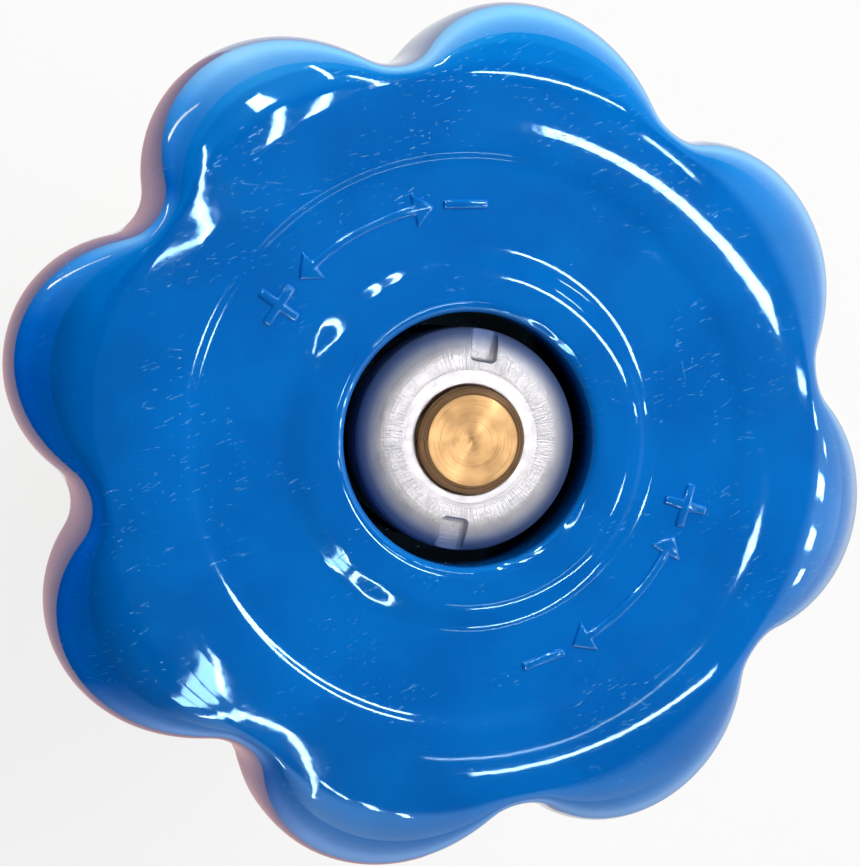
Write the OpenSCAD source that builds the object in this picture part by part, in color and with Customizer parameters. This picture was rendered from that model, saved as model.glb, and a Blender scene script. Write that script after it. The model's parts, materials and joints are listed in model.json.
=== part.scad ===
// Pressure holding valve: a hand-operated gas valve with a residual pressure
// cartridge in its side outlet. The forged brass body screws in by its stem,
// the spindle turns in a gland nut, and a moulded eight-lobed handwheel is held
// on the spindle's square by a domed two-slot nut.
// Origin: centre of the body's seat face. +Z runs up the spindle, +X to the outlet.

/* [Handwheel] */
// Diameter across two opposite lobes
wheel_d = 68; // [64:1:76]
// Number of lobes
lobe_count = 8; // [8:1:10]
// Radius of a lobe's round end, seen from above
lobe_r = 10.1; // [9:0.1:11]
// Radius of the hollow between two lobes, seen from above
valley_r = 3.6; // [2:0.1:4.2]
// Direction of the first lobe, in degrees from the outlet
lobe_angle = 31.8; // [0:0.1:45]
// Height from the lower edge to the crest
wheel_h = 18.8; // [18:0.2:24]
// Radius of the crest, the highest circle of the top
crest_r = 22.3; // [21.8:0.1:25]
// Radius from which the top rolls over to the lobes
roll_r = 27; // [26:0.1:27.6]
// How much lower the crown carries a lobe's tip than the crest
crown_drop = 2.8; // [0:0.1:4]
// Height of the rounded shoulder under the crest
shoulder_h = 10; // [8:0.2:11]
// Height of the upright band under the shoulder
band_h = 4.4; // [3:0.2:6]
// Inward slope of the skirt under the band, measured at its lower edge
skirt_in = 0.7; // [0.3:0.1:1.6]
// Thickness of the moulded skin
skin_t = 2.6; // [2:0.1:3]
// Radius of the dished ring in the top
dish_r = 21.1; // [19.5:0.1:22]
// Depth of the dished ring below the crest
dish_depth = 0.25; // [0.2:0.05:1.6]
// Radius of the raised boss round the hole
boss_r = 14.3; // [13:0.1:15]
// Height of the boss above the dished ring
boss_h = 0.4; // [0.3:0.1:1.6]
// Radius of the hole over the nut
hole_r = 9.5; // [9.4:0.05:10.4]
// Thickness of the radial ribs
rib_t = 1.8; // [1.2:0.1:2.4]
// Height of the ribs' lower edges above the wheel's lower edge
rib_z = 4; // [2:0.2:6]
// Height of the hub's lower face above the wheel's lower edge
hub_z = 3; // [2:0.2:4]
// Thickness of the hub's floor
hub_floor_t = 6; // [4:0.2:7]
// Radius of the hub under the web
hub_r = 13; // [12.4:0.1:14]

/* [Nut and spindle] */
// Radius of the domed nut
nut_r = 8.35; // [7.6:0.05:8.8]
// Height of the nut's upright edge
nut_edge_h = 3.2; // [2:0.1:4]
// Height of the dome above the upright edge
nut_dome_h = 2.3; // [1.5:0.1:3]
// Radius of the flat ring on top of the dome
nut_flat_r = 5.2; // [4.8:0.1:5.6]
// Width of the nut's two spanner slots
slot_w = 2.1; // [1.6:0.1:2.6]
// Length of the slots, from the nut's edge inwards
slot_l = 2.5; // [1.8:0.1:2.8]
// Depth of the slots below the nut's top
slot_depth = 1.3; // [0.8:0.1:1.8]
// Direction of the slots, in degrees from the outlet
slot_angle = 80; // [0:5:175]
// Radius of the spindle's threaded end
thread_r = 4; // [3.5:0.1:4.4]
// How far the spindle stands above the nut
spindle_proud = 1.2; // [0.6:0.1:2]
// Width of the spindle's square
square_w = 8; // [7:0.1:8.4]
// Radius of the round spindle in the gland nut
spindle_r = 5.5; // [5.2:0.1:5.8]
// Radius and height of the thrust collar inside the body
collar_r = 7.4; // [6.6:0.1:7.8]
// Height of the thrust collar
collar_h = 3.4; // [2.5:0.1:4]
// Thickness of the drive insert's flange
flange_t = 4; // [3:0.1:5]
// Radius of the drive insert's flange
flange_r = 7.9; // [7.4:0.1:8.2]
// Width across the flats of the insert's hexagonal body
insert_af = 13; // [12:0.1:13.6]

/* [Gland] */
// Width across the flats of the gland nut
gland_af = 25; // [23:0.5:27]
// Height of the gland nut's hexagon
gland_hex_h = 10; // [8:0.5:12]
// Radius of the round collar above the hexagon
gland_collar_r = 9.6; // [9:0.1:10.2]
// Height of the round collar
gland_collar_h = 4; // [3:0.2:5]
// Radius of the gland nut's threaded shank
gland_shank_r = 10; // [9.2:0.1:10.5]
// Length of the threaded shank
gland_shank_l = 8; // [7:0.2:9]
// Radial clearance of the spindle in the gland nut
run_gap = 0.05; // [0.02:0.01:0.1]
// Radius of the dust seal let into the collar's top
seal_r = 7.2; // [6.6:0.1:7.8]
// Thickness of the dust seal
seal_h = 1.6; // [1.2:0.1:2]
// Thickness of the slip washer under the spring
washer_t = 0.8; // [0.5:0.1:1.2]
// Gap between the wheel's lower edge and the top of the gland nut
wheel_gap = 5; // [4:0.2:7]
// Thickness of the thrust washer over the spindle's collar
thrust_t = 0.8; // [0.5:0.1:1.2]
// Play left between two faces that slide on each other
face_gap = 0.05; // [0.02:0.01:0.1]
// Width of the square end that drives the lower spindle
drive_w = 5; // [4:0.1:5.6]
// Length of the square end
drive_l = 5; // [4:0.2:6]
// Radius of the spring's coil, to the middle of its wire
spring_r = 7.6; // [7.2:0.1:7.9]
// Diameter of the spring's wire
wire_d = 1.4; // [1:0.1:1.6]
// Number of the spring's turns
spring_turns = 3; // [2:0.5:3.5]

/* [Body] */
// Height of the body from the seat face to its top
body_h = 46; // [44:1:52]
// Radius of the body's barrel
barrel_r = 14.4; // [13.8:0.1:15.2]
// Width across the two spanner flats
flats_w = 26; // [25:0.5:27]
// Radius of the seat flange
seat_r = 17; // [16:0.5:18]
// Thickness of the seat flange
seat_t = 5; // [4:0.5:7]
// Radius of the shallow groove round the stem, in which the O-ring seats
seat_groove_r = 14; // [13.7:0.1:14.5]
// Depth of that groove
seat_groove_t = 0.5; // [0.3:0.1:0.8]
// Radius of the neck under the gland nut
neck_r = 13; // [12.5:0.1:13.6]
// Height of the neck
neck_h = 6.5; // [5:0.5:8]
// Radius of the threaded inlet stem
stem_r = 12.5; // [11.5:0.1:13]
// Length of the inlet stem
stem_l = 24; // [20:1:30]
// Length of the thinner stretch of the stem under the seat face
relief_l = 3.2; // [3:0.1:4]
// How much thinner that stretch is, on the radius
relief_cut = 1.6; // [1.2:0.1:2]
// Radius of the inlet's bore
inlet_r = 4; // [3:0.1:5]
// Section diameter of the O-ring under the seat face
o_ring_d = 2.6; // [2:0.1:3]
// Height of the valve seat above the seat face
valve_seat_z = 15; // [13:0.5:17]
// Radius of the chamber in which the spindles turn
chamber_r = 8; // [7.9:0.1:8.6]
// Radius of the soft seat disc
disc_r = 5.6; // [5:0.1:6.2]
// Thickness of the seat disc
disc_t = 2.4; // [1.5:0.1:3]

/* [Outlet] */
// Height of the outlet's axis above the seat face
outlet_z = 24; // [22:0.5:26]
// Distance from the spindle's axis to the outlet's end
outlet_x = 38; // [36:1:42]
// Radius of the outlet's thread
outlet_r = 10.9; // [10.4:0.1:11.4]
// Length of the outlet's thread, with its undercut
outlet_thread_l = 16; // [13:0.5:18]
// Radius of the round boss behind the outlet's thread
outlet_boss_r = 13; // [12.6:0.1:13.6]
// Radius of the outlet's socket
socket_r = 7; // [6.5:0.1:7.5]
// Depth of the outlet's socket in front of the cartridge
socket_depth = 6; // [5:0.5:8]
// Length of the residual pressure cartridge
cartridge_l = 12; // [11:0.5:14]
// Thickness of the cartridge's inner end
cartridge_wall = 2.4; // [2:0.1:3]
// Radius of the cartridge's mouth
cartridge_mouth_r = 4.6; // [4:0.1:5]
// Radius of the hole in the cartridge's inner end, and of the passage behind it
passage_r = 2; // [1.5:0.1:2.4]
// Radius of the piston's two discs
piston_r = 3.9; // [3.4:0.1:4.2]
// Radius of the piston's rod between and beyond the discs
rod_r = 1.8; // [1.4:0.1:2]
// Distance from the cartridge's inner end to the piston's seal
piston_seal_x = 6.8; // [6.4:0.1:7.2]
// Thickness of the piston's seal
piston_seal_t = 1.6; // [1.2:0.1:2]

/* [Relief plug] */
// Radius of the boss opposite the outlet
relief_boss_r = 8.5; // [8:0.1:9.5]
// Distance from the spindle's axis to the boss's face
relief_x = 17; // [16.5:0.5:18]
// Width across the flats of the plug's head
relief_af = 13; // [11:0.5:14]
// Height of the plug's head
relief_head_h = 4; // [3:0.2:4.4]
// Radius of the plug's shank
relief_shank_r = 4.8; // [4:0.1:5.2]
// Length of the plug's shank
relief_shank_l = 5; // [4:0.2:6]
// Radius of the vent hole in the plug
vent_r = 1.5; // [1:0.1:2]

/* [Hidden] */
$fn = 64;
FACES_PER_LOBE = 16;
SHOULDER_STEPS = 9;
SHOULDER_POWER = 2.6;
EDGE = 0.6;
FUSE = 0.4;

wheel_tip_r = wheel_d / 2;
lobe_c = wheel_tip_r - lobe_r;
half_pitch = 180 / lobe_count;
valley_c = lobe_c * cos(half_pitch)
    + sqrt(pow(lobe_r + valley_r, 2) - pow(lobe_c * sin(half_pitch), 2));
lobe_end = atan2(
    lobe_r / (lobe_r + valley_r) * valley_c * sin(half_pitch),
    lobe_c + lobe_r / (lobe_r + valley_r) * (valley_c * cos(half_pitch) - lobe_c));
band_z = wheel_h - shoulder_h - band_h;
shoulder_z = wheel_h - shoulder_h;
dish_z = wheel_h - dish_depth;
boss_z = dish_z + boss_h;
web_z = dish_z - skin_t;

gland_z = body_h;
gland_top = gland_z + gland_hex_h + gland_collar_h;
wheel_z = gland_top + wheel_gap;
hub_top = hub_z + hub_floor_t;
nut_z = hub_top + flange_t;
spindle_top = nut_z + nut_edge_h + nut_dome_h + spindle_proud;
collar_top = gland_z - gland_shank_l - thrust_t - face_gap;
collar_z = collar_top - collar_h;
lower_z = valve_seat_z + face_gap + disc_t;
cartridge_x = outlet_x - socket_depth - cartridge_l;
washer_h = 1;

BLUE = [0.0, 0.40, 0.78];
STEEL = [0.78, 0.79, 0.82];
ZINC = [0.62, 0.63, 0.66];
BRASS = [0.80, 0.62, 0.30];
BLACK = [0.06, 0.06, 0.07];
WHITE = [0.92, 0.92, 0.90];
COPPER = [0.76, 0.45, 0.30];

// ---- shared shapes -------------------------------------------------------

// Radius of the wheel's outline in the direction a, in degrees from a lobe's middle.
function outline_r(a) =
    let (p = abs(a - 2 * half_pitch * round(a / (2 * half_pitch))), q = half_pitch - p)
    p < lobe_end
        ? lobe_c * cos(p) + sqrt(pow(lobe_r, 2) - pow(lobe_c * sin(p), 2))
        : valley_c * cos(q) - sqrt(pow(valley_r, 2) - pow(valley_c * sin(q), 2));

// How far the crown lowers the top at the radius r.
function crown(r) = crown_drop * pow(max(0, r - crest_r) / (wheel_tip_r - crest_r), 2);

// A closed solid lofted through rings. Each ring is [share, inset, height, crowned]:
// its radius is share of the way from roll_r out to the lobed outline, less inset,
// and a crowned ring follows the crown down.
module lobed_loft(rings) {
    count = lobe_count * FACES_PER_LOBE;
    points = [
        for (ring = rings, i = [0:count - 1])
            let (
                a = 360 * i / count,
                r = roll_r + (outline_r(a) - roll_r) * ring[0] - ring[1],
                z = ring[2] - (ring[3] ? crown(r) : 0)
            )
            [r * cos(a + lobe_angle), r * sin(a + lobe_angle), z]
    ];
    faces = [
        for (k = [0:len(rings) - 1], i = [0:count - 1])
            let (j = (i + 1) % count, m = (k + 1) % len(rings))
            each [
                [k * count + i, k * count + j, m * count + j],
                [k * count + i, m * count + j, m * count + i]
            ]
    ];
    polyhedron(points, faces);
}

// A tube swept round the Z axis as a coil, from height z0 to z1.
module coil(radius, wire_r, z0, z1, turns, sides = 8, steps_per_turn = 20) {
    steps = ceil(turns * steps_per_turn);
    points = [
        for (i = [0:steps], s = [0:sides - 1])
            let (
                a = 360 * turns * i / steps,
                b = 360 * s / sides,
                r = radius + wire_r * cos(b),
                z = z0 + (z1 - z0) * i / steps + wire_r * sin(b)
            )
            [r * cos(a), r * sin(a), z]
    ];
    sides_faces = [
        for (i = [0:steps - 1], s = [0:sides - 1])
            let (n = (s + 1) % sides, p = i * sides, q = (i + 1) * sides)
            each [[p + s, q + n, p + n], [p + s, q + s, q + n]]
    ];
    caps = [
        [for (s = [0:sides - 1]) s],
        [for (s = [sides - 1:-1:0]) steps * sides + s]
    ];
    polyhedron(points, concat(sides_faces, caps));
}

// A ring with square edges.
module ring(outer_r, inner_r, z, h) {
    translate([0, 0, z])
        difference() {
            cylinder(r = outer_r, h = h);
            translate([0, 0, -1]) cylinder(r = inner_r, h = h + 2);
        }
}

// A cylinder whose top edge, or both edges, are bevelled by c.
module bevelled(r, h, c, both = false) {
    low = both ? [[0, 0], [r - c, 0], [r, c]] : [[0, 0], [r, 0]];
    rotate_extrude() polygon(concat(low, [[r, h - c], [r - c, h], [0, h]]));
}

// A hexagonal prism whose upper corners are turned off.
module hexagon(af, h, bevel) {
    corner_r = af / 2 / cos(30);
    intersection() {
        cylinder(r = corner_r, h = h, $fn = 6);
        bevelled(corner_r, h, bevel);
    }
}

// Turns a shape that points up so that it points along +X at the outlet's height.
module along_outlet(x) {
    translate([x, 0, outlet_z]) rotate([0, 90, 0]) children();
}

// Turns a shape that points up so that it points along -X at the outlet's height.
module along_back(x) {
    translate([-x, 0, outlet_z]) rotate([0, -90, 0]) children();
}

// ---- handwheel -----------------------------------------------------------

// The crowned top, rolled shoulder, band and skirt, with their hollow underside.
module lobed_rim() {
    power = 2 / SHOULDER_POWER;
    turns = [for (i = [0:SHOULDER_STEPS]) 90 * (1 - i / SHOULDER_STEPS)];
    mid_crown_r = (crest_r + roll_r) / 2;
    top = [
        [0, roll_r - dish_r, wheel_h, false],
        [0, roll_r - crest_r, wheel_h, false],
        [0, roll_r - mid_crown_r, wheel_h, true]
    ];
    outer = [
        for (t = turns)
            [pow(cos(t), power), 0, shoulder_z + shoulder_h * pow(sin(t), power), true]
    ];
    skirt = [
        [1, 0, band_z, false],
        [1, skirt_in * 0.8, EDGE, false],
        [1, skirt_in + EDGE, 0, false],
        [1, skirt_in + skin_t - EDGE, 0, false],
        [1, skirt_in + skin_t, EDGE, false]
    ];
    inner = [
        for (k = [SHOULDER_STEPS:-2:1])
            let (u = pow(cos(turns[k]), power))
            [u, skin_t * u, shoulder_z + (shoulder_h - skin_t) * pow(sin(turns[k]), power), true]
    ];
    underside = [
        [0, roll_r - dish_r - 2, web_z - FUSE, false],
        [0, roll_r - dish_r, web_z - FUSE, false]
    ];
    lobed_loft(concat(top, outer, skirt, inner, underside));
}

// The round middle of the wheel: dished web, boss, hub wall and hub floor.
module wheel_core() {
    plate_r = dish_r + 1.5;
    step_w = 1.2;
    edge = 0.5;
    rotate_extrude()
        polygon([
            [0, hub_z], [hub_r - edge, hub_z], [hub_r, hub_z + edge],
            [hub_r, web_z], [plate_r, web_z], [plate_r, dish_z],
            [boss_r, dish_z], [boss_r - step_w, boss_z - edge / 2], [boss_r - step_w - edge, boss_z],
            [hole_r + edge, boss_z], [hole_r, boss_z - edge],
            [hole_r, hub_top], [0, hub_top]
        ]);
}

// The ribs run from the hub into the middle of the wall in each hollow between two lobes.
module wheel_ribs() {
    rib_to = max(valley_c - valley_r - skirt_in - skin_t / 2, roll_r);
    rib_from = hole_r + 1;
    rib_h = web_z + skin_t / 2 - rib_z;
    for (i = [0:lobe_count - 1])
        rotate([0, 0, lobe_angle + half_pitch * (2 * i + 1)])
            translate([rib_from, -rib_t / 2, rib_z])
                cube([rib_to - rib_from, rib_t, rib_h]);
}

module handwheel() {
    color(BLUE)
        translate([0, 0, wheel_z])
            difference() {
                union() {
                    lobed_rim();
                    wheel_core();
                    wheel_ribs();
                }
                translate([0, 0, hub_z - 1]) cylinder(r = insert_af / 2 / cos(30), h = hub_floor_t + 2, $fn = 6);
            }
}

// ---- nut, insert and spindle ---------------------------------------------

module square_bar(w, z, h) {
    translate([-w / 2, -w / 2, z]) cube([w, w, h]);
}

module drive_insert() {
    color(ZINC)
        translate([0, 0, wheel_z])
            difference() {
                union() {
                    translate([0, 0, hub_z]) cylinder(r = insert_af / 2 / cos(30), h = hub_floor_t, $fn = 6);
                    translate([0, 0, hub_top]) bevelled(flange_r, flange_t, 0.4);
                }
                square_bar(square_w + 2 * run_gap, hub_z - 1, hub_floor_t + flange_t + 2);
            }
}

module retaining_nut() {
    dome_steps = 8;
    dome = [
        for (i = [0:dome_steps])
            let (t = 90 * i / dome_steps)
            [nut_flat_r + (nut_r - nut_flat_r) * cos(t), nut_edge_h + nut_dome_h * sin(t)]
    ];
    bore_r = thread_r + face_gap;
    nut_top = nut_edge_h + nut_dome_h;
    edge = 0.4;
    color(STEEL)
        translate([0, 0, wheel_z + nut_z])
            difference() {
                rotate_extrude()
                    polygon(concat(
                        [[bore_r, 0], [nut_r - edge, 0], [nut_r, edge]],
                        dome,
                        [[bore_r + edge, nut_top], [bore_r, nut_top - edge]]));
                for (side = [0, 180])
                    rotate([0, 0, side + slot_angle])
                        translate([nut_r - slot_l, -slot_w / 2, nut_top - slot_depth])
                            cube([nut_r, slot_w, nut_top]);
            }
}

module spindle() {
    square_z = wheel_z + hub_z - 1;
    square_top = wheel_z + nut_z - 0.1;
    end_z = wheel_z + spindle_top;
    color(BRASS)
        union() {
            translate([0, 0, square_top - 1]) bevelled(thread_r, end_z - square_top + 1, EDGE);
            intersection() {
                square_bar(square_w, square_z, square_top - square_z);
                translate([0, 0, square_z - 1]) cylinder(r = spindle_r - 0.1, h = square_top - square_z + 2);
            }
            translate([0, 0, collar_z]) cylinder(r = spindle_r, h = square_z - collar_z);
            translate([0, 0, collar_z]) cylinder(r = collar_r, h = collar_h);
            square_bar(drive_w, collar_z - drive_l, drive_l + 1);
        }
}

module wheel_spring() {
    low = gland_top + washer_t + face_gap;
    high = wheel_z + hub_z;
    color(STEEL)
        intersection() {
            coil(spring_r, wire_d / 2, low + wire_d / 4, high - wire_d / 4, spring_turns);
            translate([0, 0, low]) cylinder(r = spring_r + wire_d, h = high - low);
        }
}

module lower_spindle() {
    waist_r = chamber_r - 2;
    screw_h = collar_z - face_gap - lower_z;
    color(BRASS)
        difference() {
            union() {
                translate([0, 0, lower_z]) cylinder(r = waist_r, h = screw_h);
                translate([0, 0, outlet_z + passage_r + 0.5])
                    cylinder(r = chamber_r - face_gap, h = lower_z + screw_h - outlet_z - passage_r - 0.5);
            }
            square_bar(drive_w + 2 * face_gap, collar_z - drive_l - 1, drive_l + 2);
        }
}

module seat_disc() {
    color(WHITE) translate([0, 0, valve_seat_z + face_gap]) cylinder(r = disc_r, h = disc_t);
}

// ---- gland ---------------------------------------------------------------

module thrust_washer() {
    color(WHITE) ring(chamber_r - 0.3, spindle_r + 0.3, gland_z - gland_shank_l - thrust_t, thrust_t);
}

module slip_washer() {
    color(WHITE) ring(gland_collar_r - 0.3, spindle_r + 0.3, gland_top, washer_t);
}

module dust_seal() {
    color(BLACK) ring(seal_r, spindle_r + run_gap, gland_top - seal_h, seal_h);
}

module gland_nut() {
    color(BRASS)
        difference() {
            union() {
                translate([0, 0, gland_z - gland_shank_l]) cylinder(r = gland_shank_r, h = gland_shank_l + 1);
                translate([0, 0, gland_z]) hexagon(gland_af, gland_hex_h, 1.2);
                translate([0, 0, gland_z + gland_hex_h - 1]) bevelled(gland_collar_r, gland_collar_h + 1, 0.5);
            }
            translate([0, 0, gland_z - gland_shank_l - 1])
                cylinder(r = spindle_r + run_gap, h = gland_top - gland_z + gland_shank_l + 2);
            translate([0, 0, gland_top - seal_h]) cylinder(r = seal_r, h = seal_h + 1);
        }
}

// ---- body ----------------------------------------------------------------

module body_barrel() {
    edge = 1;
    root = 2.4;
    taper = 2.5;
    rotate_extrude()
        polygon([
            [0, 0], [seat_r - edge / 2, 0], [seat_r, edge / 2], [seat_r, seat_t - edge], [seat_r - edge, seat_t],
            [barrel_r + edge, seat_t + edge], [barrel_r, seat_t + root],
            [barrel_r, body_h - neck_h - taper], [neck_r, body_h - neck_h],
            [neck_r, body_h - edge], [neck_r - edge, body_h], [0, body_h]
        ]);
}

module inlet_stem() {
    thread_bevel = 1.6;
    translate([0, 0, -stem_l]) bevelled_down(stem_r, stem_l - relief_l, thread_bevel);
    translate([0, 0, -relief_l - FUSE]) cylinder(r = stem_r - relief_cut, h = relief_l + 1.5);
}

// A cylinder whose lower edge is bevelled by c.
module bevelled_down(r, h, c) {
    rotate_extrude() polygon([[0, 0], [r - c, 0], [r, c], [r, h], [0, h]]);
}

module outlet_arm() {
    undercut_l = 2.2;
    undercut = 1.2;
    thread_bevel = 1;
    thread_x = outlet_x - outlet_thread_l;
    along_outlet(0) bevelled(outlet_boss_r, thread_x, thread_bevel);
    along_outlet(thread_x - 1) cylinder(r = outlet_r - undercut, h = undercut_l + 2);
    along_outlet(thread_x + undercut_l) bevelled(outlet_r, outlet_thread_l - undercut_l, thread_bevel, true);
}

module relief_boss() {
    edge = 0.8;
    along_back(0) bevelled(relief_boss_r, relief_x, edge);
}

module valve_body() {
    socket_l = socket_depth + cartridge_l;
    color(BRASS)
        difference() {
            union() {
                intersection() {
                    body_barrel();
                    union() {
                        translate([-seat_r, -seat_r, 0]) cube([2 * seat_r, 2 * seat_r, seat_t + FUSE]);
                        translate([-seat_r, -flats_w / 2, 0]) cube([2 * seat_r, flats_w, body_h]);
                    }
                }
                inlet_stem();
                outlet_arm();
                relief_boss();
            }
            ring(seat_groove_r, stem_r - relief_cut, -1, seat_groove_t + 1);
            translate([0, 0, -stem_l - 1]) cylinder(r = inlet_r, h = stem_l + valve_seat_z + 2);
            along_outlet(outlet_x - socket_l) cylinder(r = socket_r, h = socket_l + 1);
            translate([0, 0, gland_z - gland_shank_l]) cylinder(r = gland_shank_r + face_gap, h = gland_shank_l + 1);
            translate([0, 0, valve_seat_z]) cylinder(r = chamber_r, h = gland_z - valve_seat_z);
            along_outlet(0) cylinder(r = passage_r, h = outlet_x);
            along_back(relief_x - relief_shank_l - 1) cylinder(r = relief_shank_r, h = relief_shank_l + 2);
        }
}

module inlet_o_ring() {
    color(BLACK)
        translate([0, 0, seat_groove_t - o_ring_d / 2])
            rotate_extrude()
                translate([stem_r - relief_cut + o_ring_d / 2, 0]) circle(d = o_ring_d);
}

// ---- residual pressure cartridge -----------------------------------------

module pressure_cartridge() {
    color(BRASS)
        along_outlet(cartridge_x)
            difference() {
                bevelled(socket_r, cartridge_l, 0.5);
                translate([0, 0, -1]) cylinder(r = passage_r, h = cartridge_l);
                translate([0, 0, cartridge_wall]) cylinder(r = cartridge_mouth_r, h = cartridge_l);
            }
}

module cartridge_piston() {
    disc_t = 1;
    guide_r = passage_r - 0.2;
    end_x = cartridge_l - 1;
    front_x = piston_seal_x + piston_seal_t;
    color(STEEL)
        along_outlet(cartridge_x)
            rotate_extrude()
                polygon([
                    [0, disc_t / 2], [guide_r, disc_t / 2], [guide_r, piston_seal_x - disc_t],
                    [piston_r, piston_seal_x - disc_t], [piston_r, piston_seal_x], [rod_r, piston_seal_x],
                    [rod_r, front_x], [piston_r, front_x], [piston_r, front_x + disc_t],
                    [rod_r, end_x], [0, end_x]
                ]);
}

module piston_seal() {
    color(BLACK)
        along_outlet(cartridge_x + piston_seal_x) ring(cartridge_mouth_r, rod_r, 0, piston_seal_t);
}

module piston_spring() {
    spring_wire_r = 0.4;
    coil_r = passage_r + 1.2;
    low = cartridge_wall + spring_wire_r;
    high = piston_seal_x - 1 - spring_wire_r;
    color(STEEL)
        along_outlet(cartridge_x) coil(coil_r, spring_wire_r, low, high, 2.5);
}

module cartridge_clip() {
    clip_t = 0.8;
    clip_w = 1.2;
    clip_gap = 3;
    color(STEEL)
        along_outlet(cartridge_x + cartridge_l)
            difference() {
                ring(socket_r, socket_r - clip_w, 0, clip_t);
                translate([0, -clip_gap / 2, -1]) cube([socket_r + 1, clip_gap, clip_t + 2]);
            }
}

// ---- relief plug ---------------------------------------------------------

module relief_washer() {
    color(COPPER) along_back(relief_x) ring(relief_af / 2, relief_shank_r, 0, washer_h);
}

module relief_plug() {
    bevel = 0.8;
    color(BRASS)
        along_back(relief_x)
            difference() {
                union() {
                    translate([0, 0, -relief_shank_l])
                        cylinder(r = relief_shank_r, h = relief_shank_l + washer_h + FUSE);
                    translate([0, 0, washer_h]) hexagon(relief_af, relief_head_h, bevel);
                }
                translate([0, 0, washer_h + bevel]) cylinder(r = vent_r, h = relief_head_h);
            }
}

handwheel();
drive_insert();
retaining_nut();
spindle();
wheel_spring();
lower_spindle();
seat_disc();
slip_washer();
dust_seal();
gland_nut();
thrust_washer();
valve_body();
inlet_o_ring();
pressure_cartridge();
cartridge_piston();
piston_seal();
piston_spring();
cartridge_clip();
relief_plug();
relief_washer();
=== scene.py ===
"""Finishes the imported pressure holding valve: its materials, smooth handwheel, screw threads and light."""
import json
import math

import bmesh
import bpy
from mathutils import Matrix, Vector


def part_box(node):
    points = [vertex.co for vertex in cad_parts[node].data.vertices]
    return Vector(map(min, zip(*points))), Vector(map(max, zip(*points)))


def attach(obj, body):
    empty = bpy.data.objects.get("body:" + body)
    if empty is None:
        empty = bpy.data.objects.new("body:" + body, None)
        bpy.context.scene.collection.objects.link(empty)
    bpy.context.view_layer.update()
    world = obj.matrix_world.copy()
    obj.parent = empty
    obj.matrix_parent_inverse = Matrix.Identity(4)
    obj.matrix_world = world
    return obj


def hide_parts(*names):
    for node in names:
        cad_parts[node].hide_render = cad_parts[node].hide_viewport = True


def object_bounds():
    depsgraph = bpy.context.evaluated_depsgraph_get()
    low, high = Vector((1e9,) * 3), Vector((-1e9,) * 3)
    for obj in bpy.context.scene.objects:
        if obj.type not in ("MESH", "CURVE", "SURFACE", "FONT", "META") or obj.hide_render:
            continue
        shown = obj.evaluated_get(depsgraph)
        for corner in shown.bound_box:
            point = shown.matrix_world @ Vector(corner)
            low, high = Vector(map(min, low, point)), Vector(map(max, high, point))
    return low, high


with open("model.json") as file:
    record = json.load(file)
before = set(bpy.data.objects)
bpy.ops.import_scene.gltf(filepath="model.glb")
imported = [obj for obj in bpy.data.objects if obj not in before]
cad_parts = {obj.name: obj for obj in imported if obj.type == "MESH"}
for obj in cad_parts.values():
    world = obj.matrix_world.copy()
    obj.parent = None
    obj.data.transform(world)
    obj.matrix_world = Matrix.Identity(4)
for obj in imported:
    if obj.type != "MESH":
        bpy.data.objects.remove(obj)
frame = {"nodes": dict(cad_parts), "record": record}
CAD_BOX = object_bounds()
NODES = frame["nodes"]
MM = 0.001

# ---- sizes, in millimetres -------------------------------------------------

WHEEL_Z = (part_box("handwheel")[0] / MM).z
WHEEL_TIP_R = 34.0
LOBES = 8
LOBE_R = 10.1  # round end of a lobe
LOBE_C = WHEEL_TIP_R - LOBE_R  # distance of its centre from the axis
VALLEY_R = 3.6  # round hollow between two lobes
LOBE_TURN = math.radians(31.8)  # direction of the first lobe
WHEEL_H = 18.8
CREST_R, ROLL_R, CROWN_DROP = 22.3, 27.0, 2.8
SHOULDER_H, SHOULDER_POWER = 10.0, 2.6
SHOULDER_Z = WHEEL_H - SHOULDER_H
BAND_Z = 4.4
SKIRT_IN, SKIN, SKIRT_ROUND = 0.7, 2.6, 0.6
DISH_R, DISH_Z, DISH_STEP = 21.1, WHEEL_H - 0.25, 2.1
BOSS_R, BOSS_Z, BOSS_STEP = 13.3, DISH_Z + 0.4, 2.9
HOLE_R, LIP, LIP_EASE, HUB_R = 9.5, 0.6, 0.7, 13.0
HUB_Z, HUB_TOP = 3.0, 9.0
HEX_AF = 13.0
RIB_T, RIB_Z, RIB_DRAFT = 1.8, 4.0, 0.25
COLUMNS = LOBES * 48
CAD_SHARP = 28  # degrees between faces at which an edge of a CAD solid stays sharp
MARK_R, MARK_MIDDLES = 17.5, (118, -44)  # ring on which the turning marks stand, and their directions

# The camera's direction from the wheel, tilted off the axis of the spindle, and its distance and lens.
VIEW_TILT, VIEW_TURN = math.radians(12.85), math.radians(167.1)
CAMERA_AIM_Z = WHEEL_Z + 9.0
CAMERA_DISTANCE = 0.250  # in metres
CAMERA_LENS, CAMERA_SHIFT = 134.58, (-0.0128, 0.0007)
VIEW = Vector((
    math.sin(VIEW_TILT) * math.cos(VIEW_TURN),
    math.sin(VIEW_TILT) * math.sin(VIEW_TURN),
    math.cos(VIEW_TILT),
))


# ---- mesh helpers ------------------------------------------------------------


def build_piece(name, body, vertices, faces, slot, smooth_angle=35):
    """A mesh piece, given in millimetres, that rides on a body."""
    mesh = bpy.data.meshes.new(name)
    mesh.from_pydata([Vector(v) * MM for v in vertices], [], faces)
    mesh.validate()
    work = bmesh.new()
    work.from_mesh(mesh)
    bmesh.ops.recalc_face_normals(work, faces=work.faces)
    work.to_mesh(mesh)
    work.free()
    piece = bpy.data.objects.new(name, mesh)
    bpy.context.scene.collection.objects.link(piece)
    smooth(piece, smooth_angle)
    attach(piece, body)
    return piece


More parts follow.
